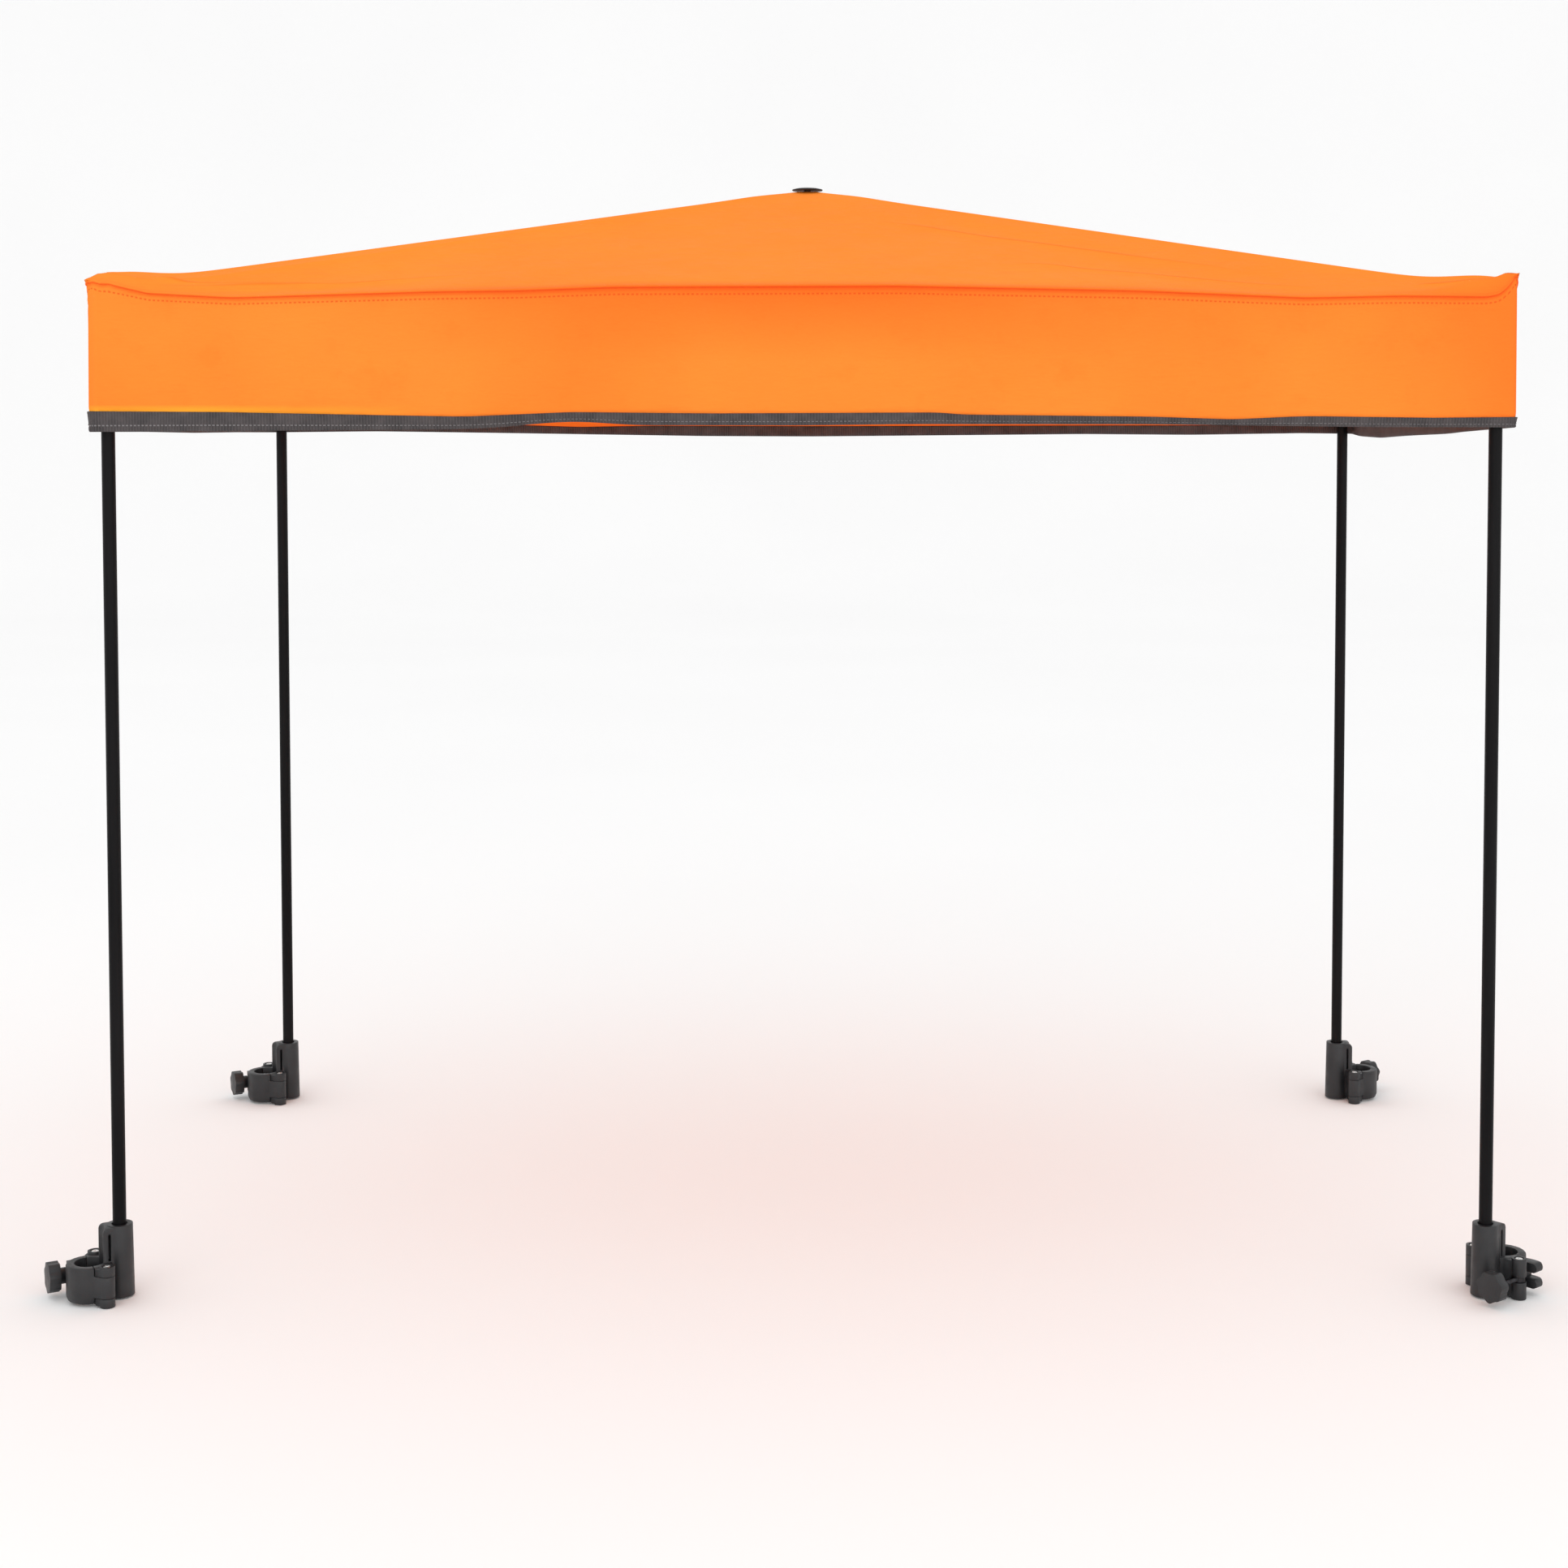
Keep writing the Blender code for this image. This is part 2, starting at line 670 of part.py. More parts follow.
def build_frame():
    centre = Matrix.Translation((*LEG_CENTRE, 0.0))
    place_part("centre_hub", hub_mesh(), "black_plastic", centre)
    place_part("top_cap", cap_mesh(), "black_plastic", centre)
    leg = tube_mesh(LEG_RADIUS, (0.0, 0.0, LEG_FOOT_Z), (0.0, 0.0, LEG_TOP_Z))
    connector = connector_mesh()
    arm = arm_mesh()
    for name, corner in CORNERS.items():
        at_leg = leg_place(corner)
        inward = at_leg @ turn_z(hub_angle(corner["side"]) + 180.0)
        place_part(f"{name}_leg", leg, "black_steel", at_leg)
        place_part(f"{name}_corner_connector", connector, "black_plastic", inward)
        place_part(f"{name}_roof_arm", arm, "black_steel", inward)


def leg_place(corner):
    half = LEG_SPACING / 2
    x = LEG_CENTRE.x + corner["side"][0] * half.x
    y = LEG_CENTRE.y + corner["side"][1] * half.y
    return Matrix.Translation((x, y, 0.0))


def build_clamps():
    brackets = {hand: bracket_mesh(hand) for hand in (1, -1)}
    jaws = {hand: jaw_mesh(hand) for hand in (1, -1)}
    screw = screw_mesh()
    bolt = bolt_mesh()
    knob = knob_mesh()
    for name, corner in CORNERS.items():
        hand = corner["hand"]
        at_clamp = leg_place(corner) @ turn_z(corner["yaw"])
        at_hinge = at_clamp @ Matrix.Translation((PIN_X, hand * PIN_Y, 0.0))
        at_pivot = at_clamp @ Matrix.Translation((PIN_X, -hand * PIN_Y, 0.0))
        at_bolt = at_pivot @ Matrix.Translation((0.0, 0.0, BOLT_Z)) @ turn_z(-hand * corner["swing"])
        place_part(f"{name}_clamp_bracket", brackets[hand], "black_plastic", at_clamp)
        place_part(f"{name}_clamp_jaw", jaws[hand], "black_plastic", at_hinge)
        place_part(f"{name}_hinge_screw", screw, "zinc_steel", at_hinge @ turn_z(30))
        place_part(f"{name}_pivot_screw", screw, "zinc_steel", at_pivot @ turn_z(60))
        place_part(f"{name}_swing_bolt", bolt, "zinc_steel", at_bolt)
        place_part(f"{name}_clamp_knob", knob, "black_plastic", at_bolt)


clear_scene()
PARTS = new_collection(NAME)
CUTTERS = new_collection("cutters")
LOOKS = {name: make_material(name, *look) for name, look in MATERIALS.items()}
build_frame()
build_cover()
build_clamps()
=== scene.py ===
"""Looks for a clamp-on cart canopy: an orange cover with a black hem tape, on black legs and clamps.

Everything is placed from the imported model. X is the long side, Y runs from the front to the back, +Z is up.
"""

import json
import math

import bmesh
import bpy
import numpy as np
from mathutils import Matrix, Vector, noise


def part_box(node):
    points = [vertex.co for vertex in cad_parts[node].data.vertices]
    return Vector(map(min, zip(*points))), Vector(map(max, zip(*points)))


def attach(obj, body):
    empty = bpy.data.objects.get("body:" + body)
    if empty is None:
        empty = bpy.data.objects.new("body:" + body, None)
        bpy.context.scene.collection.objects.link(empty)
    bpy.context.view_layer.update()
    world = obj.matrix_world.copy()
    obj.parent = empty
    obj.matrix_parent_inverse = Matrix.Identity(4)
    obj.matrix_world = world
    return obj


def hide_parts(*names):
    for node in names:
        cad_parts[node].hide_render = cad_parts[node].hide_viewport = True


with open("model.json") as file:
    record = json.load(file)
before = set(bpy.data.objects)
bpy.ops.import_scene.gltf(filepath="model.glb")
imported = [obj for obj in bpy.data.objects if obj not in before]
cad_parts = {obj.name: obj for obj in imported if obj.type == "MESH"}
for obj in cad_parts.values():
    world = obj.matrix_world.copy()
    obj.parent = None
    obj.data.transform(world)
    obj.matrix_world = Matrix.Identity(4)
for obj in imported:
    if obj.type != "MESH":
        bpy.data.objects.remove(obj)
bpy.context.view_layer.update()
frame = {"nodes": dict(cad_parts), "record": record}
NODES = frame["nodes"]

# The cover's box, from its CAD solids.
COVER_LOW = Vector((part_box("left_valance")[0].x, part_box("front_valance")[0].y,
                    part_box("front_hem_tape")[0].z))
COVER_HIGH = Vector((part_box("right_valance")[1].x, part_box("back_valance")[1].y,
                     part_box("front_roof_panel")[1].z))
CENTRE = (COVER_LOW + COVER_HIGH) / 2
HALF_X, HALF_Y = (COVER_HIGH.x - COVER_LOW.x) / 2, (COVER_HIGH.y - COVER_LOW.y) / 2
HEM_Z = COVER_LOW.z
TAPE_TOP_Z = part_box("front_hem_tape")[1].z
EAVE_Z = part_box("front_valance")[1].z
PEAK_Z = COVER_HIGH.z


# ---------------------------------------------------------------- meshes

def smooth_step(low, high, value):
    t = np.clip((value - low) / (high - low), 0.0, 1.0)
    return t * t * (3 - 2 * t)


def noise_at(points, scale, seed, octaves=2):
    """Smooth noise of about -1 to 1 at each point of an (n, 3) array."""
    shift = Vector((seed * 17.3, seed * 7.9, seed * 3.1))
    out = np.empty(len(points))
    for i, p in enumerate(points):
        out[i] = noise.fractal(Vector(p) * scale + shift, 1.0, 2.0, octaves)
    return out


def grid_mesh(name, points, closed, uv):
    """A quad mesh from rows of points, wrapping round if closed. uv gives each row's and column's place."""
    rows, columns = points.shape[:2]
    mesh = bpy.data.meshes.new(name)
    faces = []
    loops_uv = []
    last = columns if closed else columns - 1
    row_uv, column_uv = uv
    for r in range(rows - 1):
        for c in range(last):
            n = (c + 1) % columns
            here, below = r * columns, (r + 1) * columns
            faces.append((here + c, here + n, below + n, below + c))
            u0, u1 = column_uv[c], column_uv[c + 1]
            v0, v1 = row_uv[r], row_uv[r + 1]
            loops_uv.extend((u0, v0, u1, v0, u1, v1, u0, v1))
    mesh.from_pydata(points.reshape(-1, 3).tolist(), [], faces)
    layer = mesh.uv_layers.new(name="cloth")
    layer.data.foreach_set("uv", np.array(loops_uv, dtype=np.float32))
    mesh.shade_smooth()
    piece = bpy.data.objects.new(name, mesh)
    bpy.context.scene.collection.objects.link(piece)
    return piece


def give(piece, material, body):
    piece.data.materials.clear()
    piece.data.materials.append(material)
    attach(piece, body)


# ---------------------------------------------------------------- materials

class Nodes:
    """Short names for building one procedural material."""

    def __init__(self, name):
        self.material = bpy.data.materials.new(name)
        self.material.use_nodes = True
        self.tree = self.material.node_tree
        self.shader = self.tree.nodes["Principled BSDF"]

    def add(self, kind, inputs=None, **settings):
        node = self.tree.nodes.new(kind)
        for key, value in settings.items():
            setattr(node, key, value)
        for key, value in (inputs or {}).items():
            if isinstance(value, bpy.types.NodeSocket):
                self.tree.links.new(value, node.inputs[key])
            else:
                node.inputs[key].default_value = value
        return node

    def math(self, operation, a, b=0.0):
        return self.add("ShaderNodeMath", {0: a, 1: b}, operation=operation).outputs[0]

    def product(self, a, b):
        return self.math("MULTIPLY", a, b)

    def wave(self, value, pitch):
        """A sine from -1 to 1 that repeats every pitch metres."""
        return self.math("SINE", self.product(value, 2 * math.pi / pitch))

    def stretched(self, vector, scale, rotation=(0.0, 0.0, 0.0)):
        inputs = {"Vector": vector, "Rotation": rotation, "Scale": scale}
        return self.add("ShaderNodeMapping", inputs).outputs[0]

    def noise(self, vector, scale, detail=2.0, roughness=0.5):
        node = self.add("ShaderNodeTexNoise", {"Vector": vector, "Scale": scale, "Detail": detail,
                                               "Roughness": roughness})
        return node.outputs["Fac"]

    def ramp(self, value, low, high, out_low=0.0, out_high=1.0):
        node = self.add("ShaderNodeMapRange", {"Value": value, "From Min": low, "From Max": high,
                                               "To Min": out_low, "To Max": out_high})
        return node.outputs["Result"]

    def mix(self, factor, a, b, blend="MIX"):
        node = self.tree.nodes.new("ShaderNodeMix")
        node.data_type = "RGBA"
        node.blend_type = blend
        for index, value in ((0, factor), (6, a), (7, b)):
            if isinstance(value, bpy.types.NodeSocket):
                self.tree.links.new(value, node.inputs[index])
            else:
                node.inputs[index].default_value = value
        return node.outputs[2]

    def bump(self, height, strength, distance, normal=None):
        inputs = {"Height": height, "Strength": strength, "Distance": distance}
        if normal is not None:
            inputs["Normal"] = normal
        return self.add("ShaderNodeBump", inputs).outputs["Normal"]

    def position(self):
        return self.add("ShaderNodeTexCoord").outputs["Object"]

    def uv(self):
        return self.add("ShaderNodeTexCoord").outputs["UV"]

    def separate(self, vector):
        return self.add("ShaderNodeSeparateXYZ", {0: vector}).outputs

    def finish(self, colour=None, roughness=None, normal=None, **values):
        for key, value in (("Base Color", colour), ("Roughness", roughness), ("Normal", normal)):
            if value is None:
                continue
            if isinstance(value, bpy.types.NodeSocket):
                self.tree.links.new(value, self.shader.inputs[key])
            else:
                self.shader.inputs[key].default_value = value
        for key, value in values.items():
            self.shader.inputs[key.replace("_", " ")].default_value = value
        return self.material


# Spacing of the fine patterns, in metres.
WEAVE_PITCH = 0.0011
SEAM_STITCH = 0.0034
TAPE_RIB = 0.0022
TAPE_THREAD = 0.0009
TAPE_STITCH = 0.0030
SCREW_THREAD = 0.0008
CREASE_WIDTH = 0.0022


def rgb(*values):
    return (*values, 1.0)


def roof_creases(m, x, y, z):
    """A thin line along each small fold of the roof, 1 on the line and 0 off it."""
    total = 0.0
    for (sx, sy), (ex, ey), _, _ in ROOF_FOLDS:
        start = Vector((CENTRE.x + sx * HALF_X, CENTRE.y + sy * HALF_Y))
        way = Vector((CENTRE.x + ex * HALF_X, CENTRE.y + ey * HALF_Y)) - start
        length = way.length
        way.normalize()
        dx, dy = m.math("ADD", x, -start.x), m.math("ADD", y, -start.y)
        aside = m.math("ADD", m.product(dx, way.y), m.product(dy, -way.x))
        ahead = m.math("ADD", m.product(dx, way.x), m.product(dy, way.y))
        line = m.ramp(m.math("ABSOLUTE", aside), CREASE_WIDTH, 0.0003)
        ends = m.product(m.ramp(ahead, 0.0, 0.2 * length), m.ramp(ahead, length, 0.6 * length))
        total = m.math("MAXIMUM", total, m.product(line, ends))
    return m.product(total, m.ramp(z, EAVE_Z, EAVE_Z + 0.004))


def fabric_material():
    """Orange polyester in a fine plain weave with slubs.

    The cloth is painted redder and darker under the eave in the middle as painted shade from the seam's
    overhang, and redder at the front's right end; low at the front's left end it is painted yellower and
    lighter as painted light.
    """
    m = Nodes("orange_cloth")
    u, v, _ = m.separate(m.uv())
    weave = m.product(m.wave(u, WEAVE_PITCH), m.wave(v, WEAVE_PITCH))
    place = m.position()
    x, y, z = m.separate(place)
    cloud = m.noise(place, 5.0, 3.0)
    slub = m.noise(m.stretched(place, (60.0, 60.0, 900.0)), 1.0)
    base = m.mix(m.ramp(cloud, 0.3, 0.7), rgb(0.97, 0.214, 0.024), rgb(1.0, 0.268, 0.034))
    fleck = m.noise(place, 34.0, 3.0, 0.65)
    base = m.mix(m.ramp(fleck, 0.55, 0.75, 0.0, 0.30), base, rgb(0.94, 0.180, 0.018))
    front, right = CENTRE.y - HALF_Y, CENTRE.x + HALF_X
    # Painted shade: the upper middle of the front and back is painted redder and darker under the eave seam,
    # where its overhang shades the cloth; the front's right end is painted redder too.
    under_eave_shade = m.product(m.ramp(z, EAVE_Z - 0.055, EAVE_Z - 0.004), m.ramp(z, EAVE_Z + 0.006, EAVE_Z))
    middle = m.ramp(m.math("ABSOLUTE", m.math("ADD", x, -CENTRE.x)), 0.40, 0.05)
    near_front = m.ramp(y, front + 0.12, front)
    right_end = m.product(near_front, m.ramp(x, right - 0.11, right))
    eave_shade_and_red_end = m.math("MAXIMUM", m.product(under_eave_shade, middle), m.product(right_end, 0.75))
    base = m.mix(m.product(eave_shade_and_red_end, 0.85), base, rgb(0.96, 0.150, 0.014))
    # Painted light: the low left end of the front is painted yellower and lighter, as if lit more brightly
    # there.
    left, low = m.ramp(x, CENTRE.x - 0.28, CENTRE.x - 0.45), m.ramp(z, TAPE_TOP_Z + 0.006, TAPE_TOP_Z)
    low_left_painted_light = m.product(m.product(left, low), near_front)
    base = m.mix(m.product(low_left_painted_light, 0.8), base, rgb(1.0, 0.50, 0.030))
    # The roof, where v is below 0, is painted a little lighter than the valance: painted light from above.
    base = m.mix(m.ramp(v, -0.001, -0.02, 0.0, 0.5), base, rgb(1.0, 0.300, 0.026))
    # Painted shade in the roof's small folds: each crease line is painted darker.
    crease_shade_lines = roof_creases(m, x, y, z)
    base = m.mix(m.product(crease_shade_lines, 0.45), base, rgb(0.90, 0.150, 0.012))
    # Painted shadow under the eave seam's lip, and the row of stitches under it.
    seam_shadow = m.product(m.ramp(v, 0.0012, 0.0024), m.ramp(v, 0.0078, 0.0032))
    base = m.mix(m.product(seam_shadow, 0.70), base, rgb(0.78, 0.055, 0.006))
    dash = m.ramp(m.wave(u, SEAM_STITCH), -0.3, 0.1)
    row = m.product(m.ramp(v, 0.0088, 0.0094), m.ramp(v, 0.0106, 0.0100))
    stitch = m.product(dash, row)
    base = m.mix(m.product(stitch, 0.6), base, rgb(0.62, 0.060, 0.008))
    base = m.mix(m.ramp(slub, 0.35, 0.75, 0.0, 0.10), base, rgb(0.90, 0.19, 0.018))
    base = m.mix(m.ramp(weave, -1.0, 1.0, 0.0, 0.06), base, rgb(0.80, 0.13, 0.010))
    rough = m.ramp(m.noise(place, 40.0, 2.0), 0.3, 0.7, 0.78, 0.90)
    wrinkle = m.noise(m.stretched(place, (9.0, 14.0, 34.0), (0.0, 0.5, 0.3)), 1.0, 4.0, 0.6)
    normal = m.bump(wrinkle, 0.45, 0.0100)
    normal = m.bump(crease_shade_lines, 0.5, 0.0010, normal)
    normal = m.bump(m.noise(place, 160.0, 3.0, 0.6), 0.12, 0.0012, normal)
    normal = m.bump(stitch, 0.5, 0.0004, normal)
    normal = m.bump(m.ramp(weave, -1.0, 1.0), 0.25, 0.00015, normal)
    return m.finish(base, rough, normal, Specular_IOR_Level=0.10)


def tape_material():
    """Charcoal binding tape with fine ribs across it and a row of stitches in its groove."""
    m = Nodes("black_tape")
    u, v, _ = m.separate(m.uv())
    rib = m.wave(u, TAPE_RIB)
    thread = m.wave(v, TAPE_THREAD)
    place = m.position()
    worn = m.noise(place, 90.0, 3.0)
    base = m.mix(m.ramp(worn, 0.35, 0.7), rgb(0.034, 0.029, 0.030), rgb(0.074, 0.063, 0.064))
    base = m.mix(m.ramp(rib, 0.2, 1.0, 0.0, 0.35), base, rgb(0.125, 0.108, 0.110))
    groove = float(tape_ways()[list(GROOVE_EDGES)].sum()) / 2
    row = m.product(m.ramp(v, groove - 0.0007, groove - 0.0003), m.ramp(v, groove + 0.0007, groove + 0.0003))
    dash = m.ramp(m.wave(u, TAPE_STITCH), -0.5, -0.1)
    stitch = m.product(row, dash)
    base = m.mix(m.product(stitch, 0.8), base, rgb(0.24, 0.225, 0.23))
    height = m.math("ADD", m.ramp(rib, -1.0, 1.0, 0.0, 0.7), m.ramp(thread, -1.0, 1.0, 0.0, 0.3))
    height = m.math("ADD", height, stitch)
    normal = m.bump(height, 0.6, 0.0004)
    rough = m.ramp(worn, 0.3, 0.7, 0.78, 0.92)
    return m.finish(base, rough, normal)


def plastic_material(name, dark, light, rough_low, rough_high):
    """Moulded plastic with a fine grain and slightly scuffed patches."""
    m = Nodes(name)
    place = m.position()
    grain = m.noise(place, 900.0, 4.0, 0.6)
    patch = m.noise(place, 45.0, 3.0)
    base = m.mix(m.ramp(patch, 0.35, 0.7), rgb(*dark), rgb(*light))
    rough = m.ramp(m.noise(place, 120.0, 3.0), 0.3, 0.7, rough_low, rough_high)
    normal = m.bump(grain, 0.22, 0.00025)
    return m.finish(base, rough, normal)


def paint_material():
    """Black powder coat on the tubes: satin, with a faint orange-peel surface."""
    m = Nodes("black_tube_paint")
    place = m.position()
    peel = m.noise(place, 700.0, 2.0)
    streak = m.noise(m.stretched(place, (90.0, 90.0, 6.0)), 1.0, 3.0)
    base = m.mix(m.ramp(streak, 0.35, 0.7), rgb(0.0040, 0.0036, 0.0040), rgb(0.0085, 0.0078, 0.0085))
    rough = m.ramp(streak, 0.3, 0.7, 0.30, 0.44)
    return m.finish(base, rough, m.bump(peel, 0.15, 0.0002), Specular_IOR_Level=0.09)


def steel_material():
    """Zinc-plated steel with fine turning marks."""
    m = Nodes("zinc_plate")
    place = m.position()
    marks = m.noise(m.stretched(place, (400.0, 400.0, 3000.0)), 1.0)
    base = m.mix(m.ramp(marks, 0.3, 0.7), rgb(0.60, 0.60, 0.59), rgb(0.80, 0.80, 0.78))
    rough = m.ramp(m.noise(place, 500.0, 2.0), 0.3, 0.7, 0.22, 0.38)
    return m.finish(base, rough, m.bump(marks, 0.1, 0.0001), Metallic=1.0)


def dark_steel_material():
    """Blackened steel on the swing bolts, with the thread's fine rings."""
    m = Nodes("black_oxide_steel")
    place = m.position()
    rings = m.wave(m.separate(place)[0], SCREW_THREAD)
    tone = m.noise(place, 300.0, 3.0)
    base = m.mix(m.ramp(tone, 0.35, 0.7), rgb(0.030, 0.029, 0.031), rgb(0.060, 0.058, 0.062))
    rough = m.ramp(m.noise(place, 500.0, 2.0), 0.3, 0.7, 0.38, 0.52)
    return m.finish(base, rough, m.bump(m.ramp(rings, -1.0, 1.0), 0.4, 0.0002), Metallic=1.0)


def floor_material():
    m = Nodes("pale_floor")
    tone = m.noise(m.position(), 0.8, 2.0)
    base = m.mix(m.ramp(tone, 0.3, 0.7), rgb(0.96, 0.96, 0.96), rgb(0.975, 0.975, 0.975))
    return m.finish(base, 0.95, Specular_IOR_Level=0.1)


# ---------------------------------------------------------------- camera, light and floor

# Lens in millimetres, pitch in degrees (down), and shift as a share of the frame.
LENS = 56.16
# The camera's place, from the middle of the four legs on the ground.
CAMERA_FROM_LEGS = Vector((0.0318, -2.0984, 0.6421))
CAMERA_PITCH = -2.76
SHIFT = (-0.0387, -0.1419)


def build_camera():
    data = bpy.data.cameras.new("view")
    data.lens = LENS
    data.sensor_width = 36.0
    data.shift_x, data.shift_y = SHIFT
    camera = bpy.data.objects.new("view", data)
    low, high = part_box("front_left_leg")[0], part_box("back_right_leg")[1]
    camera.location = Vector(((low.x + high.x) / 2, (low.y + high.y) / 2, 0.0)) + CAMERA_FROM_LEGS
    camera.rotation_euler = (math.radians(90.0 + CAMERA_PITCH), 0.0, 0.0)
    bpy.context.scene.collection.objects.link(camera)
    bpy.context.scene.camera = camera


def area_light(name, place, target, size, power):
    data = bpy.data.lights.new(name, "AREA")
    data.shape = "RECTANGLE"
    data.size, data.size_y = size
    data.energy = power
    light = bpy.data.objects.new(name, data)
    light.location = place
    light.rotation_euler = (Vector(target) - Vector(place)).to_track_quat("-Z", "Y").to_euler()
    bpy.context.scene.collection.objects.link(light)


def build_stage():
    world = bpy.data.worlds.new("studio")
    world.use_nodes = True
    sky = world.node_tree.nodes["Background"]
    sky.inputs["Color"].default_value = rgb(1.0, 1.0, 1.0)
    sky.inputs["Strength"].default_value = 1.0
    bpy.context.scene.world = world
    area_light("key", (-1.8, -3.4, 2.4), (0.0, 0.0, 0.6), (2.4, 1.8), 14.0)
    area_light("fill", (2.4, -2.6, 0.9), (0.0, 0.0, 0.3), (2.2, 1.6), 8.0)
    area_light("low", (0.0, -2.5, 0.5), (0.0, 0.2, 0.0), (3.2, 0.5), 6.0)
    build_floor()


def build_floor():
    """A pale floor that curves up far behind the object, so that no horizon shows."""
    half, wall_start, radius, wall_top = 14.0, 7.0, 4.0, 12.0
    below_feet = 0.0004
    across = np.linspace(-half, half, 21)
    turn = np.linspace(0.0, math.pi / 2, 17)
    flat = [(y, 0.0) for y in np.linspace(-half, wall_start, 22)[:-1]]
    curve = [(wall_start + radius * math.sin(a), radius * (1 - math.cos(a))) for a in turn]
    wall = [(wall_start + radius, z) for z in np.linspace(radius, wall_top, 9)[1:]]
    profile = flat + curve + wall
    points = np.array([[(x, y, z - below_feet) for x in across] for y, z in profile])
    floor = grid_mesh("floor", points, False, (np.arange(len(profile)), across))
    floor.data.materials.append(floor_material())
    return floor


# ---------------------------------------------------------------- cover

# Heights of the eave, the hem and the tape's upper edge along each side, as (share of the half side, metres
# above the CAD height). Shares run to the right on the front, to the back on the right side, to the left on
# the back and to the front on the left side.
EAVE = {
    "front": ((-1.0, 0.0048), (-0.985, 0.0048), (-0.965, 0.0036), (-0.91, -0.0028), (-0.79, -0.0060),
              (-0.51, -0.0016), (-0.39, -0.0008), (-0.26, 0.0018), (0.13, 0.0026), (0.47, -0.0010),
              (0.70, -0.0061), (0.83, -0.0046), (0.955, -0.0052), (0.972, -0.0035), (0.985, 0.0025),
              (0.993, 0.0085), (1.0, 0.0108)),
    "right": ((-1.0, 0.0108), (-0.985, 0.0060), (-0.96, -0.0010), (-0.92, -0.0040), (-0.5, -0.0020),
              (0.0, 0.0012), (0.5, -0.0016), (0.92, -0.0036), (0.97, 0.0010), (1.0, 0.0060)),
    "back": ((-1.0, 0.0060), (-0.98, 0.0016), (-0.94, -0.0040), (-0.78, -0.0052), (-0.4, -0.0008),
             (0.0, 0.0022), (0.4, -0.0012), (0.78, -0.0050), (0.94, -0.0038), (0.98, 0.0018), (1.0, 0.0064)),
    "left": ((-1.0, 0.0064), (-0.97, 0.0010), (-0.92, -0.0034), (-0.5, -0.0018), (0.0, 0.0010),
             (0.5, -0.0022), (0.88, -0.0030), (0.92, 0.0006), (0.96, 0.0034), (1.0, 0.0048)),
}
HEM = {
    "front": ((-1.0, -0.0014), (-0.47, 0.0006), (-0.42, 0.0020), (-0.35, 0.0056), (-0.31, 0.0064),
              (-0.23, 0.0036), (0.0, 0.0035), (0.15, 0.0044), (0.49, 0.0043), (0.80, 0.0022), (1.0, 0.0020)),
    "right": ((-1.0, 0.0020), (-0.7, 0.0006), (-0.3, -0.0020), (0.2, -0.0030), (0.6, -0.0046),
              (0.85, -0.0030), (1.0, -0.0004)),
    "back": ((-1.0, -0.0004), (-0.9, 0.0002), (-0.7, -0.0014), (-0.5, -0.0006), (-0.3, -0.0016),
             (0.0, -0.0030), (0.2, -0.0026), (0.4, -0.0010), (0.6, 0.0006), (0.8, 0.0020), (1.0, 0.0010)),
    "left": ((-1.0, 0.0010), (-0.5, 0.0004), (0.0, -0.0008), (0.5, -0.0006), (1.0, -0.0014)),
}
TAPE_TOP = {
    "front": ((-1.0, 0.0012), (-0.81, 0.0006), (-0.47, -0.0028), (-0.32, 0.0006), (-0.13, -0.0004),
              (0.20, 0.0003), (0.215, -0.0012), (0.49, -0.0028), (0.60, -0.0048), (0.70, -0.0024),
              (0.88, -0.0036), (1.0, -0.0030)),
    "right": ((-1.0, -0.0030), (-0.5, -0.0022), (0.3, -0.0030), (0.7, -0.0050), (1.0, -0.0040)),
    "back": ((-1.0, -0.0040), (-0.5, -0.0046), (0.0, -0.0052), (0.3, -0.0048), (0.43, -0.0062),
             (0.55, -0.0040), (0.8, -0.0016), (1.0, -0.0010)),
    "left": ((-1.0, -0.0010), (0.0, -0.0012), (1.0, 0.0012)),
}
SIDE_NAMES = ("front", "right", "back", "left")
# The rolled eave seam, as steps outward and down.
LIP = ((0.0008, 0.0001), (0.0019, 0.0006), (0.0021, 0.0014), (0.0012, 0.0021), (-0.0012, 0.0025))
# The tape's fold round the cloth, as (outward, share of the tape's height), with a stitched groove at 0.29.
TAPE_FOLD = (
    (-0.0005, 0.97), (0.0003, 1.00), (0.0009, 0.985), (0.0011, 0.95), (0.0009, 0.80), (0.0008, 0.60),
    (0.0007, 0.42), (0.0010, 0.36), (0.0010, 0.33), (0.0005, 0.29), (0.0008, 0.25), (0.0010, 0.12),
    (0.0008, 0.04), (0.0002, 0.0), (-0.0005, 0.01), (-0.0010, 0.08), (-0.0011, 0.40), (-0.0011, 0.80),
    (-0.0010, 0.95), (-0.0005, 0.97),
)
# The rows of the fold on either side of that groove.
GROOVE_EDGES = (7, 10)
# Small folds in the roof, as start and end in share of the half length and depth, height and half width.
ROOF_FOLDS = (
    ((-0.90, -0.985), (-0.46, -0.835), 0.0020, 0.0050),
    ((-0.93, -0.960), (-0.62, -0.900), 0.0016, 0.0035),
    ((0.10, -0.30), (0.66, -0.80), 0.0013, 0.0060),
    ((0.30, -0.72), (0.74, -0.93), 0.0012, 0.0050),
    ((0.86, -0.93), (0.97, -0.985), 0.0010, 0.0040),
    ((-0.20, 0.25), (-0.72, 0.86), 0.0013, 0.0060),
    ((0.55, 0.72), (0.90, 0.97), 0.0008, 0.0050),
)


def along(table, share):
    table = np.array(table)
    return np.interp(share, table[:, 0], table[:, 1])


